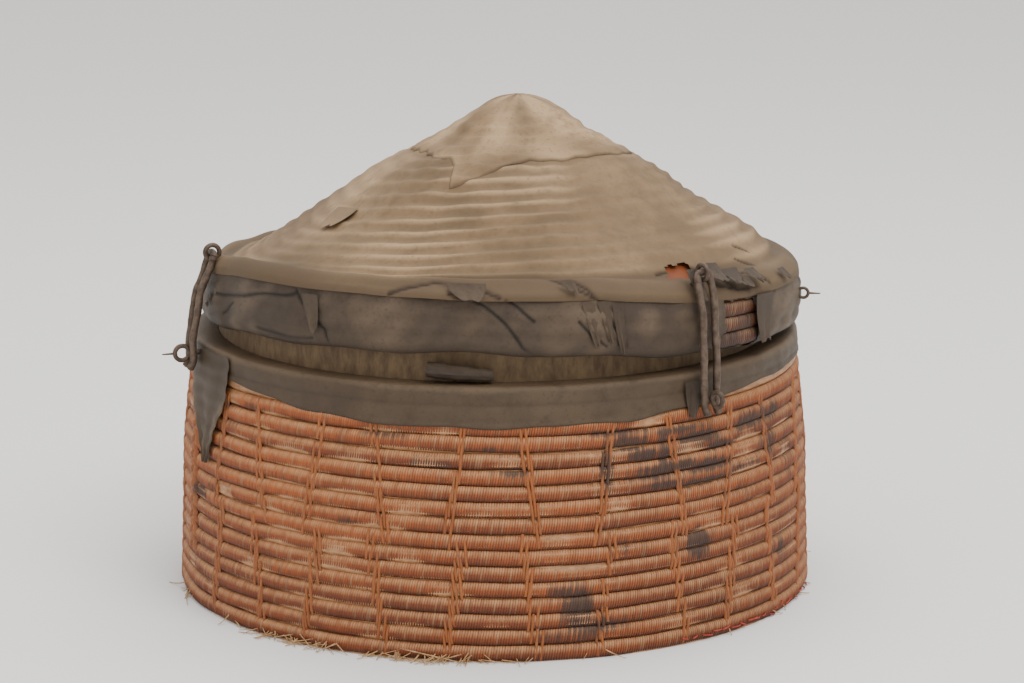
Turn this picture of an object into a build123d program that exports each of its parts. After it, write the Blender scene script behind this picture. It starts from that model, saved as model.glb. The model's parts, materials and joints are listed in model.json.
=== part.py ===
"""Round coiled basket with a cloth-covered conical lid and iron hairpin hasps.

Millimetres. +Z is up, the front faces -Y, and the origin is the centre of the floor's worn underside.
"""

from build123d import *
import os
from math import atan2, cos, degrees, hypot, radians, sin

# Basket wall: outside radius of the coil rows at the rim, and how much wider it is lower down.
RIM_RADIUS = 284.3
BELLY_FLARE = 10.5
FOOT_FLARE = 15.2
ROW_HEIGHT = 14.3
WALL_ROWS = 17
BAND_ROWS = 2
COIL_THICKNESS = 15.0
GROOVE_CORE = 4.6
BELLY_SHARE = 0.58
FLOOR_THICKNESS = 13.0
FLOOR_GROOVE = 2.0
# Share of a row's height that its crest takes up.
CREST_SHARE = 0.5

# Pieces that touch keep a hair's breadth, and skins on a leaning wall a little more.
FIT_GAP = 0.1
SKIN_LIFT = 0.4

# Lashings and leather on the wall.
LASHING_COLUMNS = 24
LASHING_ANGLE = 1.0
LASHING_THICKNESS = 0.9
BAND_THICKNESS = 1.7
BAND_HEIGHT = 34.5
TAB_AZIMUTH = -65.0
TAB_WIDTH = 84.0
TAB_DROP = 100.0
TAB_TIP = 12.0
TAB_THICKNESS = 1.4

# Collar standing inside the rim, which the lid fits over.
COLLAR_THICKNESS = 5.0
COLLAR_RISE = 43.0
COLLAR_ROOT = 43.0
COLLAR_GAP = 7.8
COLLAR_LEAN = 1.0

# Lid: how it sits on the rim.
LID_SEAT = 15.4
LID_SHIFT = 6.0
LID_TILT = 2.4

# Lid shape in its own frame, from the lower edge up: its side is this much narrower than the rim.
LID_INSET = 4.0
LID_ROWS = 3
LID_ROW_HEIGHT = 14.0
LID_COIL_THICKNESS = 11.0
LID_EDGE = 9.0
SHOULDER_INSET = 12.8
SHOULDER_HEIGHT = 50.5
CONE_HEIGHT = 150.5
CONE_ROWS = 18
CONE_THICKNESS = 12.0
CONE_CORE = 4.0
# Share of the shoulder radius and of the cone's height at each bend of the slope.
CONE_SLOPE = ((1.0, 0.0), (0.946, 0.047), (0.688, 0.306), (0.454, 0.571), (0.232, 0.751), (0.123, 0.9), (0.0, 1.0))
COVER_THICKNESS = 1.4
HEM_TUCK = 4.0
CAP_RADIUS = 100.0
CAP_THICKNESS = 1.2
TEAR_AZIMUTH = 49.5
TEAR_WIDTH = 48.0
TEAR_HEIGHT = 41.0

# Iron eye pins.
EYE_RADIUS = 6.7
EYE_ROD = 2.2
EYE_LAND = 4.7
SHANK_RADIUS = 2.4
SHANK_FIT = 0.1
TAIL_RADIUS = 1.2
TAIL_LENGTH = 10.0
CLINCH_RADIUS = 1.6
CLINCH_LENGTH = 11.0
BODY_EYE_STANDOFF = 21.5
CLINCH_GAP = 0.4
LID_EYE_OUT = 13.5
LID_EYE_UP = 15.5
LID_SHANK = 33.0
LID_SHANK_ANGLE = 45.0
SIDE_EYE_AZIMUTH = 78.0
SIDE_EYE_STANDOFF = 8.0
SIDE_EYE_ROD = 1.5
SIDE_EYE_RADIUS = 4.6
SIDE_SHANK = 22.4

# Iron hasps.
HASP_ROD = 3.4
HASP_BAR = 3.2
HASP_SPREAD = 7.5
HASP_TOE_SPREAD = 6.9
HASP_CORNER = 4.4
HASP_BEND = 18.0
HASP_STANDOFF = 12.7
HASP_SHOULDER_DROP = 36.0
HASP_STRAIGHT = 14.0
HASP_BELOW = 8.0
HASP_TOE = 15.0
HASP_KICK = 4.5
# Azimuth from the front and the wall row that takes the eye pin, counted from the top.
HASPS = {"left": (-70.0, 0), "right": (40.4, 1), "rear": (165.0, 1)}

# Small loose matter.
SCRAP_RADIUS = 6.6
SCRAP_WALL = 1.3
SCRAP_LENGTH = 56.0
SCRAP_AZIMUTH = -6.0
THREAD_RADIUS = 0.8
THREAD_STITCHES = 8
THREAD_START = 36.0
THREAD_STEP = 5.4
THREAD_ANGLE = 2.6
STRAW_RADIUS = 0.7
STRAW_AZIMUTHS = (-74.0, -71.0, -44.0, -39.0, -33.0, -28.0, -14.0, -11.0, -7.0, -4.0, 21.0)
STRAW_LENGTH = 13.0
PATCH_THICKNESS = 1.1
LID_PATCH_ANGLE = 5.0
BODY_PATCH_ANGLE = 4.0
FAR = 400.0

BELLY_RADIUS = RIM_RADIUS + BELLY_FLARE
FOOT_RADIUS = RIM_RADIUS + FOOT_FLARE
LID_RADIUS = RIM_RADIUS - LID_INSET
SHOULDER_RADIUS = LID_RADIUS - SHOULDER_INSET
COLLAR_INSET = COIL_THICKNESS + COLLAR_GAP
RIM_TOP = WALL_ROWS * ROW_HEIGHT
BAND_TOP = RIM_TOP + FIT_GAP + BAND_THICKNESS
LID_FRAME = Location((LID_SHIFT, 0, RIM_TOP + LID_SEAT), (-LID_TILT, 0, 0))


def between(points, at):
    """Straight-line value at a position along (position, value) points."""
    for (a, first), (b, second) in zip(points, points[1:]):
        if at <= b:
            return first + (second - first) * (at - a) / (b - a)
    return points[-1][1]


def station(azimuth):
    """Frame whose X runs outwards from the basket's axis at an azimuth from the front."""
    return Rot(0, 0, azimuth - 90)


def wall_outside(height):
    """Outside radius of the wall's coil rows."""
    belly = BELLY_SHARE * RIM_TOP
    return between([(0, FOOT_RADIUS), (belly, BELLY_RADIUS), (RIM_TOP, RIM_RADIUS)], height)


def wall_row(index):
    """Centre of a wall row and the direction its outside faces."""
    height = (index + 0.5) * ROW_HEIGHT
    return wall_outside(height) - COIL_THICKNESS / 2, height, 0.0


def cone_rows():
    """Centres of the cone's rows, evenly spaced from the shoulder to the apex."""
    bends = [(SHOULDER_RADIUS * share, SHOULDER_HEIGHT + CONE_HEIGHT * rise) for share, rise in CONE_SLOPE]
    steps = [hypot(b[0] - a[0], b[1] - a[1]) for a, b in zip(bends, bends[1:])]
    reach = [sum(steps[:count]) for count in range(len(bends))]
    pitch = reach[-1] / (CONE_ROWS + 0.5)
    rows = []
    for index in range(CONE_ROWS + 1):
        at = index * pitch
        radius = between([(s, p[0]) for s, p in zip(reach, bends)], at)
        height = between([(s, p[1]) for s, p in zip(reach, bends)], at)
        ahead_radius = between([(s, p[0]) for s, p in zip(reach, bends)], at + pitch / 2)
        ahead_height = between([(s, p[1]) for s, p in zip(reach, bends)], at + pitch / 2)
        facing = degrees(atan2(ahead_height - height, ahead_radius - radius)) - 90
        rows.append((radius, height, facing))
    return rows, pitch


def offset_point(row, out, along):
    """Point beside a row's centre: so far out of its outer face and so far along the wall."""
    radius, height, facing = row
    side, rise = cos(radians(facing)), sin(radians(facing))
    return radius + out * side - along * rise, height + out * rise + along * side


def coil_section(rows, thickness, pitch, core):
    """Section through neighbouring coil rows: each row has a crest on both faces and a groove to the next."""
    half = thickness / 2
    crest = CREST_SHARE * pitch / 2
    outer, inner = [], []
    for row in rows:
        outer += [offset_point(row, core, -pitch / 2), offset_point(row, half, -crest), offset_point(row, half, crest)]
        inner += [offset_point(row, -core, -pitch / 2), offset_point(row, -half, -crest), offset_point(row, -half, crest)]
    outer.append(offset_point(rows[-1], core, pitch / 2))
    inner.append(offset_point(rows[-1], -core, pitch / 2))
    return make_face(Polyline(*outer, *reversed(inner), close=True))


def shell_section(rows, thickness, pitch, inside, outside):
    """Section of a skin that lies on the crests of neighbouring rows."""
    crest = CREST_SHARE * pitch / 2
    near, far = [], []
    for row in rows:
        near += [offset_point(row, thickness / 2 + inside, -crest), offset_point(row, thickness / 2 + inside, crest)]
        far += [offset_point(row, thickness / 2 + outside, -crest), offset_point(row, thickness / 2 + outside, crest)]
    return make_face(Polyline(*near, *reversed(far), close=True))


def window(radius_low, radius_high, height_low, height_high):
    """Rectangle that cuts a section down to a range of radius and height."""
    middle = Pos((radius_low + radius_high) / 2, (height_low + height_high) / 2)
    return middle * Rectangle(radius_high - radius_low, height_high - height_low)


def turned(section, angle=360.0):
    """Solid made by turning a radius-height section about the upright axis."""
    return revolve(Plane.XZ * section, Axis.Z, revolution_arc=angle)


def sector(section, azimuth, angle):
    """Turned solid of a given angle, centred on an azimuth."""
    return Rot(0, 0, azimuth - 90 - angle / 2) * turned(section, angle)


def wall_section(first, last):
    rows = [wall_row(index) for index in range(first, last)]
    return coil_section(rows, COIL_THICKNESS, ROW_HEIGHT, GROOVE_CORE)


def wall_shell(inside, thickness, *heights):
    """Section of something thin that hangs on the wall's outside through some heights."""
    near = [(wall_outside(height) + inside, height) for height in heights]
    far = [(radius + thickness, height) for radius, height in reversed(near)]
    return make_face(Polyline(*near, *far, close=True))


def rod(start, end, radius, end_radius=None):
    """Round bar between two points, tapered when it has an end radius."""
    axis = Vector(*end) - Vector(*start)
    plane = Plane(origin=start, z_dir=axis)
    if end_radius is None:
        return Solid.make_cylinder(radius, axis.length, plane)
    return Solid.make_cone(radius, end_radius, axis.length, plane)


def floor_coil():
    reach = FOOT_RADIUS - COIL_THICKNESS - FIT_GAP
    count = int(reach / ROW_HEIGHT)
    pitch = reach / count
    rows = [((index + 0.5) * pitch, FLOOR_THICKNESS / 2, 90.0) for index in reversed(range(count))]
    groove = FLOOR_THICKNESS / 2 - FLOOR_GROOVE
    section = coil_section(rows, FLOOR_THICKNESS, pitch, groove) + window(0, reach, 0, FLOOR_THICKNESS / 2)
    return turned(section)


def foot_coil():
    low = FOOT_RADIUS - COIL_THICKNESS
    sole = window(low + 1, FOOT_RADIUS - 1, 0, ROW_HEIGHT / 2)
    return turned((wall_section(0, 1) + sole) & window(low, FAR, 0, ROW_HEIGHT - FIT_GAP / 2))


def wall_coil():
    top = (WALL_ROWS - BAND_ROWS) * ROW_HEIGHT - FIT_GAP / 2
    return turned(wall_section(1, WALL_ROWS - BAND_ROWS) & window(0, FAR, ROW_HEIGHT + FIT_GAP / 2, top))


def rim_coil():
    low = (WALL_ROWS - BAND_ROWS) * ROW_HEIGHT + FIT_GAP / 2
    ring = turned(wall_section(WALL_ROWS - BAND_ROWS, WALL_ROWS) & window(0, FAR, low, RIM_TOP))
    return ring - body_shank_holes()


def wall_lashings():
    top = RIM_TOP - BAND_HEIGHT - FIT_GAP
    strip = wall_shell(SKIN_LIFT, LASHING_THICKNESS, ROW_HEIGHT, BELLY_SHARE * RIM_TOP, top)
    first = sector(strip, 0, LASHING_ANGLE)
    step = 360 / LASHING_COLUMNS
    return Compound(children=[Rot(0, 0, (index + 0.5) * step) * first for index in range(LASHING_COLUMNS)])


def neck_collar():
    top = RIM_RADIUS - COLLAR_INSET
    slope = (COIL_THICKNESS + COLLAR_THICKNESS) / 2 - COLLAR_LEAN
    outer = [(top + slope, RIM_TOP - COLLAR_ROOT), (top, RIM_TOP), (top - COLLAR_LEAN, RIM_TOP + COLLAR_RISE)]
    inner = [(radius - COLLAR_THICKNESS, height) for radius, height in reversed(outer)]
    return turned(make_face(Polyline(*outer, *inner, close=True)))


def rim_band():
    """Band down the outside, over the top and in to the collar."""
    low = RIM_TOP - BAND_HEIGHT
    side = wall_shell(SKIN_LIFT, BAND_THICKNESS, low, RIM_TOP)
    inner_edge = RIM_RADIUS - COLLAR_INSET + 2 * FIT_GAP
    outer_edge = RIM_RADIUS + SKIN_LIFT + BAND_THICKNESS
    turn_in = window(inner_edge, outer_edge, RIM_TOP + FIT_GAP, BAND_TOP)
    join = window(outer_edge - BAND_THICKNESS, outer_edge, RIM_TOP - FIT_GAP, RIM_TOP + 2 * FIT_GAP)
    return turned(side + turn_in + join) - body_shank_holes()


def rim_tab():
    inside = SKIN_LIFT + BAND_THICKNESS + FIT_GAP
    low = RIM_TOP - TAB_DROP
    section = wall_shell(inside, TAB_THICKNESS, low, RIM_TOP - BAND_HEIGHT, RIM_TOP)
    shell = sector(section, TAB_AZIMUTH, TAB_WIDTH / 4)
    half = TAB_WIDTH / 2
    waist = RIM_TOP - 0.45 * TAB_DROP
    left = [(-half, RIM_TOP), (-half, waist), (-TAB_TIP / 2, low)]
    right = [(-across, height) for across, height in reversed(left)]
    cutter = extrude(Plane.YZ * make_face(Polyline(*left, *right, close=True)), FAR)
    return (shell & (station(TAB_AZIMUTH) * cutter)) - body_shank_holes()


def eye_pin(ring, stock, shank, length, clinch, tail):
    """Eye pin lying along X: the ring stands upright at the origin and the shank runs to -X."""
    loop = Rot(90, 0, 0) * Torus(ring, stock)
    start = ring + stock / 4
    pin = loop + rod((-start, 0, 0), (-length, 0, 0), shank)
    pin += rod((-length + clinch, 0, 0), (-length + clinch, CLINCH_LENGTH, 0), clinch)
    if tail:
        pin += rod((ring, 0, 0), (ring + stock + TAIL_LENGTH, 0, 0), TAIL_RADIUS, TAIL_RADIUS / 2)
    return pin


def body_eye_frame(name):
    azimuth, row = HASPS[name]
    height = RIM_TOP - (row + 0.5) * ROW_HEIGHT
    return station(azimuth) * Pos(RIM_RADIUS + BODY_EYE_STANDOFF, 0, height)


def body_eye(name):
    pin = eye_pin(EYE_RADIUS, EYE_ROD, SHANK_RADIUS, body_shank(name), CLINCH_RADIUS, name == "left")
    worn = Rot(90, 0, 0) * Cylinder(EYE_LAND, 4 * EYE_ROD)
    return body_eye_frame(name) * (pin - worn)


def body_shank(name):
    """Length from the ring's centre to the clinched end against the wall's inside."""
    outside = wall_outside(RIM_TOP - (HASPS[name][1] + 0.5) * ROW_HEIGHT)
    return RIM_RADIUS + BODY_EYE_STANDOFF - outside + COIL_THICKNESS + 2 * CLINCH_RADIUS + CLINCH_GAP


def body_shank_holes():
    radius = SHANK_RADIUS + SHANK_FIT
    return [body_eye_frame(name) * rod((0, 0, 0), (-body_shank(name), 0, 0), radius) for name in HASPS]


def body_eye_patch():
    azimuth = HASPS["right"][0] - 2 * BODY_PATCH_ANGLE / 3
    inside = SKIN_LIFT + BAND_THICKNESS + FIT_GAP
    section = wall_shell(inside, PATCH_THICKNESS, RIM_TOP - 2.6 * ROW_HEIGHT, RIM_TOP - ROW_HEIGHT / 2)
    return sector(section, azimuth, BODY_PATCH_ANGLE) - body_shank_holes()


def gap_scrap():
    ring = Circle(SCRAP_RADIUS) - Circle(SCRAP_RADIUS - SCRAP_WALL)
    roll = extrude(Plane.XZ * ring, SCRAP_LENGTH / 2, both=True)
    lift = BAND_TOP + SCRAP_RADIUS + 3 * FIT_GAP
    return station(SCRAP_AZIMUTH) * Pos(RIM_RADIUS - COIL_THICKNESS, 0, lift) * roll


def foot_thread():
    radius = wall_row(0)[0] + COIL_THICKNESS / 2 + THREAD_RADIUS + 2 * FIT_GAP
    stitch = sector(Pos(radius, ROW_HEIGHT / 2) * Circle(THREAD_RADIUS), THREAD_START, THREAD_ANGLE)
    return Compound(children=[Rot(0, 0, index * THREAD_STEP) * stitch for index in range(THREAD_STITCHES)])


def foot_straws():
    start = FOOT_RADIUS + STRAW_RADIUS + FIT_GAP
    straws = []
    for index, azimuth in enumerate(STRAW_AZIMUTHS):
        side = 4.0 * (index % 3 - 1)
        tip = (start + STRAW_LENGTH + side, 2 * side, 2 * STRAW_RADIUS)
        straws.append(station(azimuth) * rod((start, 0, ROW_HEIGHT / 3), tip, STRAW_RADIUS, STRAW_RADIUS / 2))
    return Compound(children=straws)


def side_rows():
    centre = LID_RADIUS - LID_COIL_THICKNESS / 2
    return [(centre, LID_EDGE + index * LID_ROW_HEIGHT, 0.0) for index in range(LID_ROWS)]


def lid_side_coil():
    section = coil_section(side_rows(), LID_COIL_THICKNESS, LID_ROW_HEIGHT, CONE_CORE)
    return LID_FRAME * turned(section & window(0, FAR, -FAR, lid_split() - FIT_GAP)) - lid_shank_holes()


def lid_cone_coil():
    rows, pitch = cone_rows()
    section = coil_section(rows, CONE_THICKNESS, pitch, CONE_CORE)
    return LID_FRAME * turned(section & window(0, FAR, lid_split(), FAR)) - lid_shank_holes()


def lid_split():
    """Height where the side's top row ends and the cone's shoulder row begins."""
    return LID_EDGE + (LID_ROWS - 0.5) * LID_ROW_HEIGHT


def lid_side_cover():
    """Cloth from the seam down the side and round under the lower edge."""
    near = LID_RADIUS + FIT_GAP
    low = LID_EDGE - LID_ROW_HEIGHT / 2 - FIT_GAP
    tuck = LID_RADIUS - LID_COIL_THICKNESS / 2 - HEM_TUCK
    seam_radius, seam = seam_point(FIT_GAP)
    inner = [(tuck, low), (near, low), (near, lid_split()), (seam_radius, seam - FIT_GAP)]
    far_seam = seam_point(FIT_GAP + COVER_THICKNESS)
    far = near + COVER_THICKNESS
    outer = [(far_seam[0], far_seam[1] - FIT_GAP), (far, lid_split()), (far, low - COVER_THICKNESS)]
    section = make_face(Polyline(*inner, *outer, (tuck, low - COVER_THICKNESS), close=True))
    tear = station(TEAR_AZIMUTH) * Pos(LID_RADIUS, 0, LID_EDGE + 0.9 * LID_ROW_HEIGHT)
    opening = tear * Box(LID_COIL_THICKNESS * 2, TEAR_WIDTH, TEAR_HEIGHT)
    return LID_FRAME * (turned(section) - opening) - lid_shank_holes()


def seam_point(lift):
    """Where the side's cloth meets the cone's, on the shoulder row's outer corner."""
    row = cone_rows()[0][0]
    return offset_point(row, CONE_THICKNESS / 2 + lift, -ROW_HEIGHT / 2 - lift)


def cone_shell(inside, outside, radius_low=0.0, radius_high=FAR):
    rows, pitch = cone_rows()
    section = shell_section(rows, CONE_THICKNESS, pitch, inside, outside)
    seam = [seam_point(inside), seam_point(outside)]
    first = [offset_point(rows[0], CONE_THICKNESS / 2 + lift, 0) for lift in (outside, inside)]
    ends = [offset_point(rows[-1], CONE_THICKNESS / 2 + lift, CREST_SHARE * pitch / 2) for lift in (inside, outside)]
    crown = [(0, ends[0][1]), ends[0], ends[1], (0, ends[1][1])]
    joined = section + make_face(Polyline(*seam, *first, close=True)) + make_face(Polyline(*crown, close=True))
    return joined & window(radius_low, radius_high, 0, FAR)


def lid_cone_cover():
    return LID_FRAME * turned(cone_shell(FIT_GAP, FIT_GAP + COVER_THICKNESS)) - lid_shank_holes()


def apex_cap():
    inside = COVER_THICKNESS + 2 * FIT_GAP
    return LID_FRAME * turned(cone_shell(inside, inside + CAP_THICKNESS, 0, CAP_RADIUS))


def lid_point(azimuth, radius, height):
    """Radius and height about the basket's axis of a point given about the lid's axis."""
    lean = radians(LID_TILT)
    lifted = RIM_TOP + LID_SEAT + height * cos(lean) + radius * cos(radians(azimuth)) * sin(lean)
    return radius + LID_SHIFT * sin(radians(azimuth)), lifted


def lid_eye_point(name):
    return lid_point(HASPS[name][0], SHOULDER_RADIUS + LID_EYE_OUT, SHOULDER_HEIGHT + LID_EYE_UP)


def lid_eye_frame(name):
    radius, height = lid_eye_point(name)
    return station(HASPS[name][0]) * Pos(radius, 0, height) * Rot(0, -LID_SHANK_ANGLE, 0)


def lid_eye(name):
    return lid_eye_frame(name) * eye_pin(EYE_RADIUS, EYE_ROD, SHANK_RADIUS, LID_SHANK, CLINCH_RADIUS, False)


def side_eye_frame():
    radius, height = lid_point(SIDE_EYE_AZIMUTH, LID_RADIUS + SIDE_EYE_STANDOFF, LID_EDGE + LID_ROW_HEIGHT)
    return station(SIDE_EYE_AZIMUTH) * Pos(radius, 0, height)


def lid_side_eye():
    return side_eye_frame() * eye_pin(SIDE_EYE_RADIUS, SIDE_EYE_ROD, SIDE_EYE_ROD, SIDE_SHANK, SIDE_EYE_ROD, True)


def lid_shank_holes():
    bore = rod((0, 0, 0), (-LID_SHANK, 0, 0), SHANK_RADIUS + SHANK_FIT)
    side = rod((0, 0, 0), (-SIDE_SHANK, 0, 0), SIDE_EYE_ROD + SHANK_FIT)
    return [lid_eye_frame(name) * bore for name in HASPS] + [side_eye_frame() * side]


def lid_eye_patch():
    inside = COVER_THICKNESS + 2 * FIT_GAP
    section = cone_shell(inside, inside + PATCH_THICKNESS, SHOULDER_RADIUS - 2 * CONE_THICKNESS, SHOULDER_RADIUS)
    azimuth = HASPS["right"][0] - LID_PATCH_ANGLE / 4
    return LID_FRAME * sector(section, azimuth, LID_PATCH_ANGLE) - lid_shank_holes()


def hasp(name):
    """Hairpin of round rod: the bar passes through the lid's eye and the legs straddle the basket's."""
    azimuth, row = HASPS[name]
    top_radius, top = lid_eye_point(name)
    latch = RIM_TOP - (row + 0.5) * ROW_HEIGHT
    leg_radius = RIM_RADIUS + HASP_STANDOFF
    side = [
        (leg_radius + HASP_KICK, HASP_TOE_SPREAD, latch - HASP_TOE),
        (leg_radius, HASP_TOE_SPREAD, latch - HASP_BELOW),
        (leg_radius, HASP_SPREAD, latch + HASP_STRAIGHT),
        ((top_radius + leg_radius) / 2 + 3, HASP_SPREAD, top - HASP_SHOULDER_DROP),
        (top_radius, HASP_SPREAD, top),
    ]
    other = [(radius, -spread, height) for radius, spread, height in reversed(side)]
    bends = [HASP_BELOW / 2, HASP_BEND, HASP_BEND, HASP_CORNER]
    path = FilletPolyline(*side, *other, radius=[*bends, *reversed(bends)])
    section = Plane(origin=path @ 0, z_dir=path % 0) * Circle(HASP_ROD)
    return station(azimuth) * sweep(section, path=path)


def save(name, shape):
    shape.label = name
    export_step(shape, f"parts/{name}.step")


def main():
    os.makedirs("parts", exist_ok=True)
    for make in (floor_coil, foot_coil, wall_coil, rim_coil, wall_lashings, neck_collar, rim_band, rim_tab):
        save(make.__name__, make())
    for make in (body_eye_patch, gap_scrap, foot_thread, foot_straws, lid_side_coil, lid_cone_coil):
        save(make.__name__, make())
    for make in (lid_side_cover, lid_cone_cover, apex_cap, lid_side_eye, lid_eye_patch):
        save(make.__name__, make())
    for name in HASPS:
        save(f"body_eye_{name}", body_eye(name))
        save(f"lid_eye_{name}", lid_eye(name))
        save(f"hasp_{name}", hasp(name))


main()
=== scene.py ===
import json
import bpy
import numpy as np
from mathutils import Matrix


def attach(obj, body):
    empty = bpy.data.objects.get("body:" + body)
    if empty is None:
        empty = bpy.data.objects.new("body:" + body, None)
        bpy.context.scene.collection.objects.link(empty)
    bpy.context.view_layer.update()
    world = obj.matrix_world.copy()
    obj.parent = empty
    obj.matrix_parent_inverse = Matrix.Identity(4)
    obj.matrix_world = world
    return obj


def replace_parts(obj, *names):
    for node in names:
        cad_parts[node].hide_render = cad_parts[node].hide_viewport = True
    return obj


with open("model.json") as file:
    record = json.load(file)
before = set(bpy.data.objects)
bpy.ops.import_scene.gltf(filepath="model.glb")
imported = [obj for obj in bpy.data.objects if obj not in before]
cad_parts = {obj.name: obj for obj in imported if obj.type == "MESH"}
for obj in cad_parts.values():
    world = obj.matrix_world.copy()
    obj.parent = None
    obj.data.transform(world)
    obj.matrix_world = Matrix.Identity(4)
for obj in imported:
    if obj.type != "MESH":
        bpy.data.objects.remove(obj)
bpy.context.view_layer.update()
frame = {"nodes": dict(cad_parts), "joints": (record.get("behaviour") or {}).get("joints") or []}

tau = 2 * np.pi
milli = 0.001

# Sizes in millimetres, the same as the CAD model's.
wall = {"foot": 299.5, "belly": 294.8, "rim": 284.3, "bellyHeight": 141.0, "top": 243.1, "row": 14.3,
    "thick": 15.0}
lidSeat = {"shift": 6.0, "height": 258.5, "tilt": np.radians(2.4)}


# shapes
def ripple(seed, u, v, waves, most, across):
    # sum of sines: whole waves round the axis (u in radians), random waves across (v)
    rng = np.random.default_rng(seed)
    total = 0.0
    for _ in range(waves):
        turns = rng.integers(-most, most + 1)
        total = total + np.sin(turns * u + rng.normal(0, across) * v + rng.uniform(0, tau))
    return total / np.sqrt(waves / 2)


def smoothStep(low, high, x):
    t = np.clip((x - low) / (high - low), 0, 1)
    return t * t * (3 - 2 * t)


def polar(azimuth, radius, height):
    # azimuth in radians from the front (-Y) towards +X
    return np.stack(np.broadcast_arrays(radius * np.sin(azimuth), -radius * np.cos(azimuth), height),
        axis=-1)


def meshPiece(name, points, faces, layers, material, body, smooth=True):
    mesh = bpy.data.meshes.new(name)
    mesh.vertices.add(len(points))
    mesh.vertices.foreach_set("co", (points * milli).astype(np.float32).ravel())
    mesh.loops.add(faces.size)
    mesh.loops.foreach_set("vertex_index", faces.astype(np.int32).ravel())
    mesh.polygons.add(len(faces))
    mesh.polygons.foreach_set("loop_start", np.arange(len(faces), dtype=np.int32) * faces.shape[1])
    mesh.polygons.foreach_set("use_smooth", np.full(len(faces), smooth))
    mesh.update(calc_edges=True)
    for key, values in layers.items():
        layer = mesh.attributes.new(key, "FLOAT", "POINT")
        layer.data.foreach_set("value", np.broadcast_to(values,
            points.shape[:1]).astype(np.float32).ravel())
    mesh.materials.append(material)
    piece = bpy.data.objects.new(name, mesh)
    bpy.context.scene.collection.objects.link(piece)
    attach(piece, body)
    return piece


def gridFaces(count, across, closed, keep=None, start=0):
    # quads over a grid whose first side runs round the axis
    index = np.arange(count * across).reshape(count, across)
    if closed:
        index = np.vstack([index, index[:1]])
    quads = np.stack([index[:-1, :-1], index[1:, :-1], index[1:, 1:], index[:-1, 1:]], axis=-1)
    if keep is not None:
        quads = quads[keep]
    return quads.reshape(-1, 4) + start


def gridPiece(name, points, closed, layers, material, body, keep=None):
    count, across = points.shape[:2]
    flat = {key: np.broadcast_to(values, (count, across)).ravel() for key, values in layers.items()}
    faces = gridFaces(count, across, closed, keep)
    return meshPiece(name, points.reshape(-1, 3), faces, flat, material, body)


def tubes(paths, radii, sides=8):
    # round bars along paths: points (bar, step, 3), radii (bar, step), ends left open
    paths, radii = np.asarray(paths, float), np.asarray(radii, float)
    ahead = np.gradient(paths, axis=1)
    ahead /= np.linalg.norm(ahead, axis=2, keepdims=True) + 1e-9
    side = np.cross(ahead, np.array([0.13, 0.31, 0.94]))
    side /= np.linalg.norm(side, axis=2, keepdims=True) + 1e-9
    lift = np.cross(side, ahead)
    turn = np.arange(sides) / sides * tau
    ring = (side[:, :, None] * np.cos(turn)[None, None, :, None]
        + lift[:, :, None] * np.sin(turn)[None, None, :, None])
    points = paths[:, :, None] + ring * radii[:, :, None, None]
    bars, steps = paths.shape[:2]
    index = np.arange(bars * steps * sides).reshape(bars, steps, sides)
    after = np.roll(index, -1, axis=2)
    quads = np.stack([index[:, :-1], index[:, 1:], after[:, 1:], after[:, :-1]], axis=-1).reshape(-1, 4)
    return points.reshape(-1, 3), quads


def roundedPath(corners, spacing, softness):
    # polyline resampled evenly, its corners rounded by a running mean
    corners = np.asarray(corners, float)
    reach = np.concatenate([[0], np.cumsum(np.linalg.norm(np.diff(corners, axis=0), axis=1))])
    at = np.linspace(0, reach[-1], int(reach[-1] / spacing) + 1)
    line = np.stack([np.interp(at, reach, corners[:, axis]) for axis in range(corners.shape[1])], axis=1)
    half = int(3 * softness / spacing)
    weight = np.exp(-0.5 * (np.arange(-half, half + 1) * spacing / softness) ** 2)
    weight /= weight.sum()
    before = 2 * line[0] - line[half:0:-1]
    behind = 2 * line[-1] - line[-2:-half - 2:-1]
    padded = np.vstack([before, line, behind])
    return np.stack([np.convolve(padded[:, axis], weight, "valid") for axis in range(corners.shape[1])],
        axis=1)


def wallOutside(height):
    return np.interp(height, [0, wall["bellyHeight"], wall["top"]],
        [wall["foot"], wall["belly"], wall["rim"]])


def onLid(points):
    # from the lid's own frame to the basket's: tilted front up, moved sideways, set on the rim
    c, s = np.cos(lidSeat["tilt"]), np.sin(lidSeat["tilt"])
    x, y, z = points[..., 0], points[..., 1], points[..., 2]
    return np.stack([x + lidSeat["shift"], y * c + z * s, z * c - y * s + lidSeat["height"]], axis=-1)


# material helpers
def newMaterial(name):
    material = bpy.data.materials.new(name)
    material.use_nodes = True
    tree = material.node_tree
    tree.nodes.clear()
    out = tree.nodes.new("ShaderNodeOutputMaterial")
    shader = tree.nodes.new("ShaderNodeBsdfPrincipled")
    tree.links.new(shader.outputs[0], out.inputs[0])
    return material, tree, shader


def plug(tree, socket, value):
    if isinstance(value, bpy.types.NodeSocket):
        tree.links.new(value, socket)
    elif value is not None:
        socket.default_value = value


def objectSpot(tree, stretch=(1, 1, 1)):
    spot = tree.nodes.new("ShaderNodeTexCoord").outputs["Object"]
    mapping = tree.nodes.new("ShaderNodeMapping")
    mapping.inputs["Scale"].default_value = stretch
    tree.links.new(spot, mapping.inputs["Vector"])
    return mapping.outputs[0]


def layer(tree, name):
    node = tree.nodes.new("ShaderNodeAttribute")
    node.attribute_name = name
    return node.outputs["Fac"]


def vector(tree, x, y, z=0.0):
    node = tree.nodes.new("ShaderNodeCombineXYZ")
    for socket, value in zip(node.inputs, (x, y, z)):
        plug(tree, socket, value)
    return node.outputs[0]


def noise(tree, where, scale, detail=4.0, rough=0.6):
    node = tree.nodes.new("ShaderNodeTexNoise")
    tree.links.new(where, node.inputs["Vector"])
    node.inputs["Scale"].default_value = scale
    node.inputs["Detail"].default_value = detail
    node.inputs["Roughness"].default_value = rough
    return node.outputs["Fac"]


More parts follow.
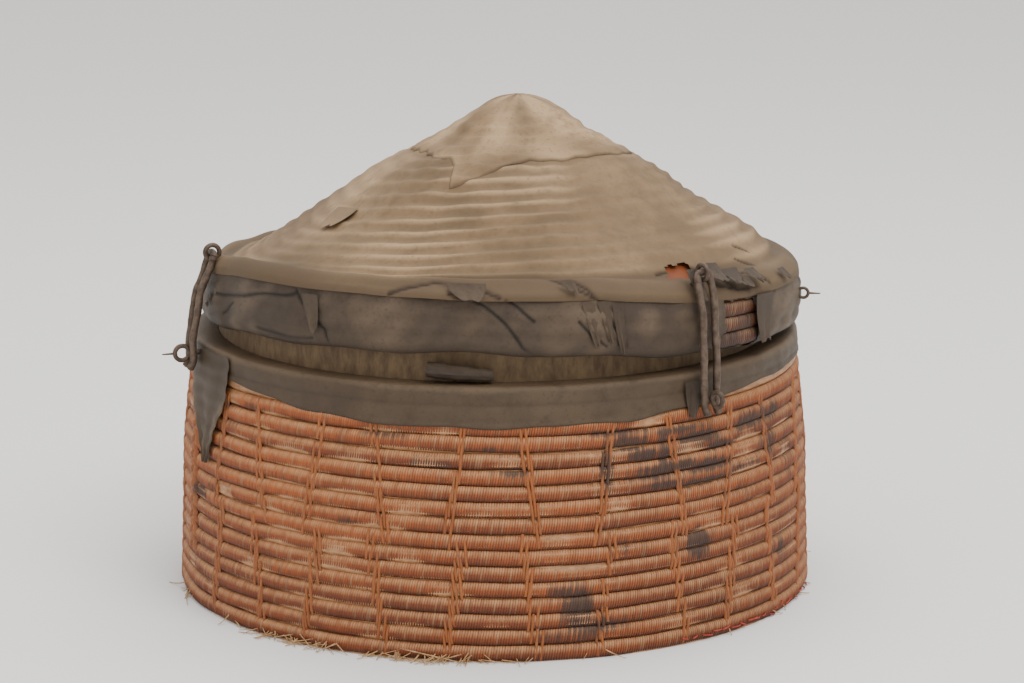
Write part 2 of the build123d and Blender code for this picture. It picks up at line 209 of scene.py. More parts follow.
def white(tree, where):
    node = tree.nodes.new("ShaderNodeTexWhiteNoise")
    node.noise_dimensions = "3D"
    tree.links.new(where, node.inputs["Vector"])
    return node.outputs["Value"]


def calc(tree, kind, a, b=None, c=None):
    node = tree.nodes.new("ShaderNodeMath")
    node.operation = kind
    for socket, value in zip(node.inputs, (a, b, c)):
        plug(tree, socket, value)
    return node.outputs[0]


def remap(tree, value, low, high, to=(0.0, 1.0)):
    node = tree.nodes.new("ShaderNodeMapRange")
    plug(tree, node.inputs["Value"], value)
    node.inputs["From Min"].default_value = low
    node.inputs["From Max"].default_value = high
    node.inputs["To Min"].default_value, node.inputs["To Max"].default_value = to
    return node.outputs[0]


def blend(tree, share, a, b, kind="MIX"):
    node = tree.nodes.new("ShaderNodeMix")
    node.data_type = "RGBA"
    node.blend_type = kind
    plug(tree, node.inputs[0], share)
    plug(tree, node.inputs[6], (*a, 1) if isinstance(a, tuple) else a)
    plug(tree, node.inputs[7], (*b, 1) if isinstance(b, tuple) else b)
    return node.outputs[2]


def relief(tree, shader, height, strength, distance):
    node = tree.nodes.new("ShaderNodeBump")
    node.inputs["Strength"].default_value = strength
    node.inputs["Distance"].default_value = distance
    tree.links.new(height, node.inputs["Height"])
    tree.links.new(node.outputs[0], shader.inputs["Normal"])


def caneMaterial(name, tints):
    # split cane: every wrap its own tint, a tan painted highlight (partly dust) where the row faces up,
    # orange below, painted shade on the under side towards the groove, stained in places
    material, tree, shader = newMaterial(name)
    wrap, row, face, stain = (layer(tree, key) for key in ("wrap", "row", "face", "stain"))
    single = white(tree, vector(tree, calc(tree, "FLOOR", wrap), row))
    patchy = calc(tree, "ADD", calc(tree, "MULTIPLY", noise(tree, objectSpot(tree), 9.0), 0.75),
        calc(tree, "MULTIPLY", white(tree, vector(tree, row, 0.5)), 0.25))
    fine = noise(tree, vector(tree, calc(tree, "MULTIPLY", wrap, 0.9), row,
        calc(tree, "MULTIPLY", face, 0.6)), 1.0, 3.0)
    base = blend(tree, remap(tree, patchy, 0.36, 0.64), tints["deep"], tints["orange"])
    base = blend(tree, remap(tree, single, 0.0, 1.0, (0.0, 0.55)), base, tints["brown"])
    # painted highlight, partly dust: tan over the up-facing top of each row
    litTopAndDust = calc(tree, "MULTIPLY", remap(tree, face, 0.0, 0.62), remap(tree, fine, 0.3, 0.6, (0.3, 1.0)))
    base = blend(tree, calc(tree, "MULTIPLY", litTopAndDust, tints["litTopAndDustShare"]), base, tints["tan"])
    pale = calc(tree, "MULTIPLY", remap(tree, single, 0.84, 0.95), 0.22)
    base = blend(tree, pale, base, tints["pale"])
    seam = remap(tree, calc(tree, "FRACT", wrap), 0.36, 0.12, (0.0, 0.62))
    base = blend(tree, seam, base, tints["groove"])
    # painted shade: each row's under side darkens towards the groove colour
    base = blend(tree, remap(tree, face, -0.15, -0.95, (0.0, 0.85)), base, tints["groove"])
    dirty = remap(tree, calc(tree, "ADD", stain, calc(tree, "MULTIPLY", single, 0.35)), 0.45, 0.8,
        (0.0, 0.85))
    base = blend(tree, dirty, base, tints["stain"])
    tree.links.new(base, shader.inputs["Base Color"])
    shader.inputs["Roughness"].default_value = 0.55
    shader.inputs["Specular IOR Level"].default_value = 0.35
    relief(tree, shader, fine, 0.25, 0.0006)
    return material


caneTints = {"deep": (0.155, 0.032, 0.007), "orange": (0.33, 0.078, 0.014), "brown": (0.10, 0.028, 0.009),
             "tan": (0.42, 0.2, 0.085), "pale": (0.52, 0.31, 0.15), "groove": (0.022, 0.006, 0.003),
             "stain": (0.028, 0.018, 0.014), "litTopAndDustShare": 0.9}
cane = caneMaterial("wrapped_cane", caneTints)
lashCane = caneMaterial("lashing_cane", {**caneTints, "deep": (0.27, 0.07, 0.014),
    "orange": (0.46, 0.14, 0.03), "tan": (0.5, 0.2, 0.06), "groove": (0.16, 0.045, 0.012)})
lidCane = caneMaterial("dark_wrapped_cane", {**caneTints, "deep": (0.09, 0.035, 0.016),
    "orange": (0.17, 0.065, 0.03), "tan": (0.24, 0.15, 0.09), "litTopAndDustShare": 0.6})


def clothMaterial(name, tints, weave, rough):
    # waxed cloth or leather: broad patches, pale crests and tops from wear and painted highlight, dark
    # grooves and seams from grime and painted shade, dark cracks, fine weave
    material, tree, shader = newMaterial(name)
    wearAndHighlight, dark, crack = (layer(tree, key) for key in ("wearAndHighlight", "dark", "crack"))
    spot = objectSpot(tree)
    broad = noise(tree, spot, 5.5, 5.0)
    fine = noise(tree, spot, 60.0, 6.0, 0.7)
    threads = noise(tree, vector(tree, calc(tree, "MULTIPLY", layer(tree, "roundway"), 3.0),
        layer(tree, "upway")), weave, 3.0)
    base = blend(tree, remap(tree, broad, 0.4, 0.6), tints["dark"], tints["mid"])
    medium = noise(tree, spot, 19.0, 5.0, 0.65)
    base = blend(tree, remap(tree, medium, 0.42, 0.68, (0.0, 0.6)), base, tints["grimeAndShade"])
    # pale share: wear plus painted highlight on crests, tops and outward folds
    base = blend(tree, remap(tree, calc(tree, "ADD", wearAndHighlight, calc(tree, "MULTIPLY", fine, 0.5)), 0.45, 1.2),
        base, tints["pale"])
    base = blend(tree, remap(tree, threads, 0.35, 0.75, (0.0, 0.45)), base, tints["thread"])
    speck = noise(tree, spot, 260.0, 3.0, 0.7)
    base = blend(tree, remap(tree, fine, 0.5, 0.7, (0.0, 0.55)), base, tints["fleck"])
    base = blend(tree, remap(tree, speck, 0.56, 0.7, (0.0, 0.5)), base, tints["fleck"])
    # dark layer: real grime plus painted shade in seams, creases, grooves and under edges
    base = blend(tree, dark, base, tints["grimeAndShade"])
    base = blend(tree, crack, base, tints["crack"])
    tree.links.new(base, shader.inputs["Base Color"])
    shader.inputs["Roughness"].default_value = rough
    shader.inputs["Specular IOR Level"].default_value = 0.3
    height = calc(tree, "ADD", calc(tree, "MULTIPLY", fine, 0.6), calc(tree, "MULTIPLY", threads, 0.5))
    relief(tree, shader, height, 0.7, 0.0014)
    return material


coneCloth = clothMaterial("lid_cloth", {"dark": (0.148, 0.090, 0.044), "mid": (0.237, 0.151, 0.077),
    "pale": (0.415, 0.280, 0.154), "thread": (0.307, 0.203, 0.108), "fleck": (0.119, 0.073, 0.038),
    "grimeAndShade": (0.083, 0.054, 0.029), "crack": (0.022, 0.012, 0.007)}, 90.0, 0.75)
# side cloth: much darker than the cone's, partly darker cloth and partly painted shade on the side, which
# faces away from the light above
sideCloth = clothMaterial("lid_side_cloth", {"dark": (0.042, 0.027, 0.017), "mid": (0.064, 0.043, 0.026),
    "pale": (0.107, 0.074, 0.046), "thread": (0.081, 0.055, 0.035), "fleck": (0.030, 0.018, 0.012),
    "grimeAndShade": (0.021, 0.014, 0.010), "crack": (0.008, 0.005, 0.003)}, 90.0, 0.6)
bandLeather = clothMaterial("band_leather", {"dark": (0.049, 0.032, 0.018), "mid": (0.072, 0.047, 0.026),
    "pale": (0.115, 0.076, 0.043), "thread": (0.086, 0.055, 0.031), "fleck": (0.035, 0.021, 0.011),
    "grimeAndShade": (0.026, 0.016, 0.009), "crack": (0.010, 0.006, 0.003)}, 60.0, 0.55)
scrapLeather = clothMaterial("scrap_leather", {"dark": (0.030, 0.019, 0.012), "mid": (0.059, 0.041, 0.026),
    "pale": (0.128, 0.092, 0.062), "thread": (0.059, 0.038, 0.023), "fleck": (0.023, 0.015, 0.008),
    "grimeAndShade": (0.017, 0.010, 0.006), "crack": (0.009, 0.004, 0.002)}, 60.0, 0.4)


def plainMaterial(name, low, high, scale, rough, metal=0.0, stretch=(1, 1, 1), depth=0.0008, strength=0.5):
    material, tree, shader = newMaterial(name)
    grain = noise(tree, objectSpot(tree, stretch), scale, 6.0, 0.65)
    tree.links.new(blend(tree, remap(tree, grain, 0.35, 0.65), low, high), shader.inputs["Base Color"])
    shader.inputs["Roughness"].default_value = rough
    shader.inputs["Metallic"].default_value = metal
    relief(tree, shader, grain, strength, depth)
    return material


iron = plainMaterial("old_iron", (0.05, 0.031, 0.02), (0.125, 0.086, 0.06), 160.0, 0.6, 0.4)
# collar tints kept dark, partly as painted shade for the gap under the lid
collarFibre = plainMaterial("collar_fibre", (0.075, 0.042, 0.019), (0.155, 0.1, 0.047), 28.0, 0.75, 0,
    (4, 4, 1.5), 0.001, 0.7)
innerCane = plainMaterial("inner_cane", (0.24, 0.11, 0.045), (0.42, 0.22, 0.1), 90.0, 0.6, 0, (1, 1, 2.5))
redThread = plainMaterial("red_thread", (0.22, 0.02, 0.015), (0.42, 0.05, 0.035), 300.0, 0.8)
straw = plainMaterial("dry_straw", (0.26, 0.13, 0.05), (0.5, 0.32, 0.15), 200.0, 0.7)
print("materials ready")

# wrapped coil rows of the wall
coil = {"wraps": 800, "perWrap": 4, "steps": 9, "rows": 15, "perPiece": 3, "crest": 8.4, "groove": 4.4,
        "relief": 0.95, "slant": 0.5, "sway": 0.6, "swell": 0.4, "round": 0.42}
# dark stains on the wall: azimuth and half width in degrees, height and half height in millimetres, depth
stains = [(24, 190, 5, 9, 1.0), (27, 178, 4, 8, 0.9), (32, 164, 9, 6, 1.0), (30, 150, 6, 5, 0.8),
    (39, 186, 6, 9, 1.0), (41, 160, 7, 7, 0.9), (36, 176, 6, 5, 0.7), (53, 190, 7, 12, 0.9),
    (58, 165, 4, 20, 0.6), (15, 46, 3.5, 26, 0.85), (19, 30, 6, 10, 0.7), (9, 22, 5, 8, 0.5),
    (-66, 108, 3, 7, 1.0), (-57, 200, 5, 7, 0.6), (-55, 184, 4, 6, 0.5), (38, 92, 2.5, 15, 1.0),
    (-11, 176, 5, 4, 0.5), (4, 170, 4, 4, 0.5), (-40, 150, 3, 5, 0.35), (46, 130, 5, 8, 0.5),
    (68, 150, 5, 30, 0.5), (22, 200, 9, 4, 0.8), (35, 196, 7, 5, 0.9), (44, 176, 5, 5, 0.9),
    (28, 158, 7, 5, 0.8), (40, 146, 8, 5, 0.8), (50, 150, 6, 6, 0.7), (60, 190, 6, 10, 0.7),
    (47, 205, 6, 5, 0.6), (20, 170, 1.6, 24, 0.9), (31, 172, 1.6, 26, 0.8), (-48, 206, 5, 4, 0.5),
    (-38, 178, 5, 3, 0.5), (-20, 200, 6, 3, 0.4), (-60, 120, 4, 4, 0.6), (-2, 190, 4, 3, 0.5),
    (12, 62, 3, 8, 0.6), (24, 96, 4, 9, 0.45), (-25, 120, 4, 4, 0.4), (62, 60, 5, 12, 0.5),
    (140, 120, 14, 30, 0.7), (-140, 60, 10, 22, 0.7), (178, 190, 12, 14, 0.8), (-105, 150, 8, 12, 0.6)]


def stainAt(azimuth, height):
    turned = np.degrees(azimuth)
    depth = np.zeros(np.broadcast(turned, height).shape)
    for middle, level, wide, tall, strength in stains:
        apart = (turned - middle + 180) % 360 - 180
        depth = np.maximum(depth, strength * np.exp(-(apart / wide) ** 2 - ((height - level) / tall) ** 2))
    return depth + 0.10 * ripple(3, azimuth, height / 30, 12, 24, 1.0)


def rowSway(azimuth, row):
    # a row wanders up and down a little, together with its neighbours and on its own
    shared = ripple(11, azimuth, row * 0.15, 6, 5, 1.0)
    return coil["sway"] * shared + 0.35 * ripple(50 + row, azimuth, 0.0, 5, 14, 1.0)


def rowPoints(across, level, radius):
    # across runs from -1 (under side) to 1 (upper side): a rounded bulge between two grooves
    bulge = coil["groove"] + (coil["crest"] - coil["groove"]) * (1 - across ** 2) ** coil["round"]
    return radius - wall["thick"] / 2 + bulge, level + across * wall["row"] / 2


def coilRow(row, wraps, first, last, radius, level, relief, seed):
    # one row's wrapped face; grooves between wraps fall on grid lines
    count = int(wraps * (last - first) / 360)
    samples = count * coil["perWrap"]
    step = np.radians(last - first) / samples
    across = np.sin(np.linspace(-1, 1, coil["steps"]) * np.pi / 2 * 0.98)
    azimuth = np.radians(first) + np.arange(samples + (0 if last - first >= 360 else 1)) * step
    azimuth = azimuth[:, None]
    slanted = azimuth + coil["slant"] * across[None] * step * coil["perWrap"]
    spot = np.arange(len(azimuth)) % coil["perWrap"]
    rng = np.random.default_rng(seed)
    single = np.repeat(rng.uniform(0.55, 1.15, count + 1), coil["perWrap"])[: len(azimuth)]
    hump = np.array([-0.55, 0.25, 0.45, 0.2])[spot] * single
    shape = (1 - across[None] ** 2) ** coil["round"]
    radial, height = rowPoints(across[None], level, radius)
    radial = (radial + relief * hump[:, None] * (0.35 + 0.65 * shape)
        + coil["swell"] * ripple(seed, azimuth, 0.0, 8, 30, 1.0))
    height = height + rowSway(azimuth, row)
    points = polar(slanted, radial, height)
    wrap = np.arange(len(azimuth))[:, None] / coil["perWrap"] + 0.0 * across[None]
    layers = {"wrap": wrap, "row": row + 0.5, "face": across[None] + 0 * wrap,
        "stain": stainAt(slanted, height)}
    return points, {key: np.broadcast_to(value, wrap.shape) for key, value in layers.items()}


def coilPiece(name, rows, closed, material, body, place=lambda points: points):
    allPoints, allFaces, allLayers, start = [], [], {}, 0
    for points, layers in rows:
        allFaces.append(gridFaces(*points.shape[:2], closed, start=start))
        allPoints.append(place(points).reshape(-1, 3))
        start += points.shape[0] * points.shape[1]
        for key, value in layers.items():
            allLayers.setdefault(key, []).append(value.ravel())
    layers = {key: np.concatenate(value) for key, value in allLayers.items()}
    return meshPiece(name, np.vstack(allPoints), np.vstack(allFaces), layers, material, body)


def wallRow(row):
    level = (row + 0.5) * wall["row"]
    radius = wallOutside(level) + (0.9 if row == 0 else 0.0)
    points, layers = coilRow(row, coil["wraps"], -180, 180, radius, level, coil["relief"], 100 + row)
    points[..., 2] = np.maximum(points[..., 2], 0.4)
    return points, layers


for first in range(0, coil["rows"], coil["perPiece"]):
    rows = [wallRow(row) for row in range(first, min(first + coil["perPiece"], coil["rows"]))]
    coilPiece(f"wall_wraps_{first // coil['perPiece']}", rows, True, cane, "basket")
print("wall rows ready")

# upright lashings
lash = {"columns": 28, "width": 2.7, "thick": 1.5, "pair": 4.4, "steps": 9, "across": 5, "reach": 13.0,
    "bridge": 0.36, "missing": 0.1, "braid": -70.0, "braidWidth": 7.5, "braidThick": 3.2, "braidReach": 9.0,
    "braidGap": 9.0, "braidLean": 4.2, "lean": 1.3}


def lashings():
    # each stitch is a narrow strip over two rows that bridges the groove between them;
    # neighbouring columns lean opposite ways, and one column at the left is a thick chain of slanted stitches
    rng = np.random.default_rng(7)
    column, groove, strand = (grid.ravel() for grid in np.meshgrid(np.arange(lash["columns"]),
        np.arange(1, 15), (-0.5, 0.5), indexing="ij"))
    lean = np.where(column % 2, 1.0, -1.0) * np.where(groove > 7, 1, -1)
    middle = ((column + 0.5 + rng.uniform(-0.12, 0.12, lash["columns"])[column]) * 360 / lash["columns"]
        - 180)
    middle = middle + lean * 0.42 * (np.abs(groove - 7.5) - 3.5) + rng.uniform(-0.3, 0.3, len(column))
    kept = (rng.uniform(size=len(column)) > lash["missing"]) & (np.abs(middle - lash["braid"]) > 3)
    chain = np.arange(4, 15)
    middle = np.concatenate([middle[kept], np.full(2 * len(chain), lash["braid"])])
    groove = np.concatenate([groove[kept], chain, chain])
    strand = np.concatenate([strand[kept], np.full(len(chain), -0.5), np.full(len(chain), 0.5)])
    thick = np.concatenate([np.zeros(kept.sum()), np.ones(2 * len(chain))])
    lean = np.concatenate([lean[kept] * lash["lean"], -np.sign(strand[kept.sum():]) * lash["braidLean"]])
    size = len(middle)
    each = lambda values: np.asarray(values)[:, None, None]
    along, side = np.linspace(-1, 1, lash["steps"])[None, :, None], np.linspace(-1, 1, lash["across"])[None,
        None]
    reach = np.where(thick > 0, lash["braidReach"], lash["reach"] * rng.uniform(0.75, 1.15, size))
    height = each(groove * wall["row"] + rng.uniform(-1.5, 1.5, size) * (thick == 0)) + along * each(reach)
    outside = wallOutside(height)
    spot = (height / wall["row"]) % 1 * 2 - 1
    dip = (coil["crest"] - coil["groove"]) * (1 - np.clip(1 - spot ** 2, 0, 1) ** coil["round"])
    crown = np.sqrt(np.clip(1 - side ** 2, 0, 1)) * (1 - 0.9 * np.abs(along) ** 6)
    proud = np.where(thick > 0, lash["braidThick"], lash["thick"])
    radial = outside - wall["thick"] / 2 + coil["crest"] - lash["bridge"] * dip + each(proud) * crown - 0.3
    wide = np.where(thick > 0, lash["braidWidth"], lash["width"])
    shift = strand * np.where(thick > 0, lash["braidGap"], lash["pair"])
    turn = np.radians(each(middle)) + (each(shift) + each(lean) * along + side * each(wide) / 2) / outside
    points = polar(turn, radial, height + 0 * side)
    face = gridFaces(lash["steps"], lash["across"], False)[:, ::-1]
    faces = (face[None] + (np.arange(size) * lash["steps"] * lash["across"])[:, None, None]).reshape(-1, 4)
    shape = points.shape[:3]
    # face: the crown of each stitch takes some of the tan painted highlight
    layers = {"wrap": each(rng.integers(0, 900, size)), "row": each(groove), "face": 0.05 + 0.25 * crown,
              "stain": stainAt(turn, height + 0 * side) + each(rng.uniform(-0.2, 0.16, size))}
    layers = {key: np.broadcast_to(values, shape).ravel() for key, values in layers.items()}
    return meshPiece("lashings", points.reshape(-1, 3), faces, layers, lashCane, "basket")


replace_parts(lashings(), "wall_lashings")
print("lashings ready")

# leather band round the rim
band = {"count": 900, "low": 208.5, "rise": 0.0046, "most": 224.0, "lift": 2.5, "shoulder": 238.5,
    "over": 1.9, "bend": 5.0, "inner": 262.2}


def rimBand():
    # profile: up the outside over two coils, round the top, in to the collar
    azimuth = np.linspace(-np.pi, np.pi, band["count"], endpoint=False)[:, None]
    degreesOut = np.degrees(np.abs(azimuth))
    low = (np.minimum(band["low"] + band["rise"] * degreesOut ** 2, band["most"])
        + 0.8 * ripple(21, azimuth, 0, 7, 30, 1))
    up = np.linspace(0, 1, 20)[None]
    height = low + (band["shoulder"] - low) * up
    coils = 0.9 * np.abs(np.sin((height - 207.4 + 7.15) / wall["row"] * np.pi)) ** 0.7
    radial = wallOutside(height) + band["lift"] - 0.9 + coils
    edge = wallOutside(height[:, :1]) + 0.2
    curl = np.linspace(0, np.pi / 2, 6)[None, 1:]
    topRadius = radial[:, -1:] - band["bend"]
    overRadius = topRadius + band["bend"] * np.cos(curl)
    overHeight = band["shoulder"] + (wall["top"] + band["over"] - band["shoulder"]) * np.sin(curl)
    inward = np.linspace(0, 1, 6)[None, 1:]
    inRadius = topRadius + (band["inner"] - topRadius) * inward
    inHeight = wall["top"] + band["over"] - 0.6 * inward + 0 * azimuth
    radial = np.hstack([edge, radial, overRadius, inRadius])
    height = np.hstack([height[:, :1] + 0.6, height, overHeight + 0 * azimuth, inHeight])
    wrinkle = (ripple(22, azimuth, height / 12, 14, 40, 1.0)
        + 0.6 * ripple(23, azimuth, height / 5, 14, 90, 1.0))
    radial = radial + 0.28 * wrinkle
    # painted highlight, partly wear, where the band rounds over the rim's top
    wearAndHighlight = smoothStep(236, 244, height) * 0.7 + 0.15 * ripple(24, azimuth, height / 20, 10, 20, 1)
    # darker along the lower edge, and painted shade along the groove between the two coils beneath
    dark = np.clip(0.5 - (height - low) / 5, 0, 0.6) + 0.25 * np.exp(-((height - 228.8) / 1.6) ** 2)
    layers = {"wearAndHighlight": wearAndHighlight, "dark": dark, "crack": 0.0, "roundway": azimuth * 0.29 * 8,
        "upway": height * 0.02}
    piece = gridPiece("rim_band_leather", polar(azimuth, radial, height), True, layers, bandLeather,
        "basket")
    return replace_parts(piece, "rim_band")


rimBand()

# leather tongue hanging at the left
tab = {"azimuth": -65.0, "top": 243.5, "drop": 102.0, "wide": 43.0, "tip": 5.0}


def rimTab():
    down = np.linspace(0, 1, 60)[None]
    side = np.linspace(-1, 1, 44)[:, None]
    height = tab["top"] - tab["drop"] * down
    half = tab["wide"] * (1 - smoothStep(0.25, 1.05, down) * (1 - tab["tip"] / tab["wide"]))
    half = half + 1.6 * np.sin(down * 17) * (1 - down)
    turn = np.radians(tab["azimuth"] + 2.5 * down) + side * half / wallOutside(height)
    fold = 1.6 * np.sin(side * 7 + down * 3) * (0.3 + down) + 0.9 * ripple(31, side * 3, down * 9, 8, 3, 1)
    rows = 0.5 * np.cos(height / wall["row"] * tau)
    radial = wallOutside(height) + 4.4 + fold * 0.55 + rows + 0.8 * down
    dark = 0.35 * np.exp(-((side + 0.35) / 0.16) ** 2) + 0.6 * smoothStep(0.8, 1.0, down)
    # pale share follows the folds: painted highlight where they bulge out
    layers = {"wearAndHighlight": 0.4 * fold, "dark": np.clip(dark, 0, 0.8), "crack": 0.0, "roundway": side,
        "upway": down * 3}
    piece = gridPiece("rim_tongue", polar(turn, radial, height + 0 * side), False, layers, bandLeather,
        "basket")
    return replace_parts(piece, "rim_tab")


rimTab()
print("band and tongue ready")

# lid: the cone's centre line, as in the CAD model
cone = {"half": 6.0, "rows": 18, "spacing": 0.5, "corners": [(276.3, 44.0), (273, 50), (265, 54.5),
    (253, 57.6), (184, 96.5), (121.4, 136.4), (64, 160.5), (34, 182), (19, 190.5), (0, 193.5)]}
coneCorners = np.array(cone["corners"])
coneLength = np.linalg.norm(np.diff(coneCorners, axis=0), axis=1).sum()
conePitch = coneLength / (cone["rows"] + 0.5)
coneLine = roundedPath(coneCorners, cone["spacing"], 5.0)
lidRows = {"first": 9.0, "pitch": 14.0}  # coil rows of the lid's upright side, from its lower edge
perDegree = 4.9  # millimetres round the lid's side for each degree


# how far the lid's side, its seam and its slope stand above or below a true cone, by azimuth in degrees
warp = {"turn": [-180, -130, -90, -73, -59, -45, -25, -9, 7, 18, 33, 47, 60, 79, 100, 140, 180],
        "low": [-3, -5, -5, -3, -1, 1, 1, 1.5, 1.3, -3.5, -7, -9.5, -8, -6, -5, -3, -3],
        "seam": [-7, -15, -13, -3, 4, 4.5, 4, 1, 0.5, 0, -7, -11, -12, -11, -10, -8, -7],
        "slope": [-6, -15, -21, -20, -16, -12, -8, -4, -2, -1, 0, 1, 1, 0, 0, -4, -6], "apex": 17.0}


def warpLid(points):
    radius = np.hypot(points[..., 0], points[..., 1])
    turned = np.degrees(np.arctan2(points[..., 0], -points[..., 1]))
    low, seam, slope = (np.interp(turned, warp["turn"], warp[key]) for key in ("low", "seam", "slope"))
    level = points[..., 2]
    high = smoothStep(95, 185, level)
    up = smoothStep(0, 52, level)
    rim = smoothStep(232, 276, radius)
    lift = (low * (1 - up) + seam * up) * rim + slope * (1 - rim) * (1 - high)
    return points + np.stack([warp["apex"] * high, 0 * high, lift], axis=-1)


def lidPlace(points):
    return onLid(warpLid(points))


def frontDense(count):
    # azimuths from the back round, closer together over the front
    even = np.linspace(-1, 1, count, endpoint=False)
    return np.pi * (0.55 * even + 0.45 * even ** 3)


def nearLine(azimuth, level, line):
    # distance in millimetres from points on the lid to a polyline of (azimuth degrees, level)
    x, y = np.degrees(azimuth) * perDegree, level
    best = np.full(np.broadcast(x, y).shape, 1e9)
    for (a, b), (c, d) in zip(line, line[1:]):
        ax, cx = a * perDegree, c * perDegree
        t = np.clip(((x - ax) * (cx - ax) + (y - b) * (d - b)) / ((cx - ax) ** 2 + (d - b) ** 2 + 1e-9), 0,
            1)
        best = np.minimum(best, np.hypot(x - ax - t * (cx - ax), y - b - t * (d - b)))
    return best


# cracks over the side (level below 52) and on the cone (level = distance up the slope + 52)
cracks = [[(-9, 55), (-6, 52), (-3, 44), (1, 28), (4, 10), (6, 4)], [(1, 52), (4, 38), (6, 30)],
    [(8, 75), (13, 62), (17, 54), (20, 30), (23, 10)], [(11, 73), (16, 60), (19, 40), (21, 22)],
    [(14, 30), (17, 16), (19, 8)], [(-66, 30), (-50, 36), (-40, 42)],
    [(-40, 44), (-37, 30), (-33, 16), (-32, 2)], [(-50, 10), (-42, 7), (-36, 9)],
    [(33, 84), (38, 86), (46, 80), (54, 70)], [(40, 92), (44, 84), (47, 70), (50, 60)],
    [(50, 78), (57, 70), (60, 58)], [(43, 66), (48, 62), (55, 58)],
    [(-20, 54), (-12, 66), (-4, 62), (0, 55)], [(62, 100), (66, 92)], [(58, 88), (62, 76)],
    [(-63, 14), (-58, 26)], [(120, 90), (130, 70), (134, 20)], [(-130, 120), (-120, 90)],
    [(170, 40), (176, 8)]]


def crackDepth(azimuth, level, wide):
    depth = np.zeros(np.broadcast(azimuth, level).shape)
    jitter = 0.9 * ripple(61, azimuth, level / 9, 8, 34, 1.0)
    for line in cracks:
        depth = np.maximum(depth, np.exp(-((nearLine(azimuth, level + jitter, line)) / wide) ** 2))
    return depth


coneCover = {"count": 640, "steps": 152, "lift": 1.7, "ribs": 1.6, "wrinkle": 0.55, "sag": 1.0, "roll": 4.5,
    "marks": [(-10, 122, 7, 13, 0.5), (-17, 150, 7, 9, 0.35), (-26, 108, 9, 12, 0.35),
    (8, 72, 12, 10, 0.35), (-50, 45, 12, 14, 0.35), (30, 150, 9, 14, 0.25), (18, 120, 8, 12, 0.3),
    (-38, 90, 6, 8, 0.3), (50, 90, 8, 12, 0.3), (0, 190, 14, 8, 0.25)]}


def coneGrid(count, first, last, steps, lift, seed):
    # surface over the cone: distance up the slope against azimuth, pushed out along the slope's normal
    at = np.linspace(first, last, steps)
    azimuth = frontDense(count)[:, None]
    arc = np.arange(len(coneLine)) * cone["spacing"]
    arc = arc / arc[-1] * coneLength
    radius = np.interp(at, arc, coneLine[:, 0])[None]
    height = np.interp(at, arc, coneLine[:, 1])[None]
    tangent = np.gradient(coneLine, axis=0)
    tangent /= np.linalg.norm(tangent, axis=1, keepdims=True)
    outR = np.interp(at, arc, tangent[:, 1])[None]
    outZ = np.interp(at, arc, -tangent[:, 0])[None]
    wander = 0.12 * ripple(seed + 4, azimuth, at[None] / 90, 6, 5, 1.0)
    ribs = 0.75 - 1.75 * np.abs(np.sin((at[None] / conePitch + wander) * np.pi)) ** 1.6
    ribs = (ribs * (0.45 + 0.55 * np.cos(azimuth) ** 2)
        * np.clip(0.9 + 0.3 * ripple(seed + 5, azimuth, at[None] / 50, 8, 4, 1.0), 0.45, 1.3))
    fade = smoothStep(coneLength - 8, coneLength - 70, at[None])
    push = (cone["half"] + lift + coneCover["ribs"]
        * (ribs + 0.25 * ripple(seed, azimuth, at[None] / 30, 8, 9, 1)) * fade)
    push = (push + coneCover["wrinkle"] * (ripple(seed + 1, azimuth, at[None] / 14, 14, 26, 1.0))
        * (0.35 + 0.65 * fade))
    push = push + coneCover["sag"] * ripple(seed + 2, azimuth, at[None] / 60, 6, 6, 1.0) * fade
    push = (push + coneCover["roll"] * np.exp(-((at[None] - 11) / 10) ** 2)
        * (1 + 0.12 * ripple(seed + 3, azimuth, 0, 6, 12, 1)))
    return azimuth, at[None], radius, height, outR, outZ, push, ribs * fade


def aroundHoles(inside):
    # faces to keep: those with no corner inside a torn patch
    loop = np.vstack([inside, inside[:1]])
    return ~(loop[:-1, :-1] | loop[1:, :-1] | loop[1:, 1:] | loop[:-1, 1:])


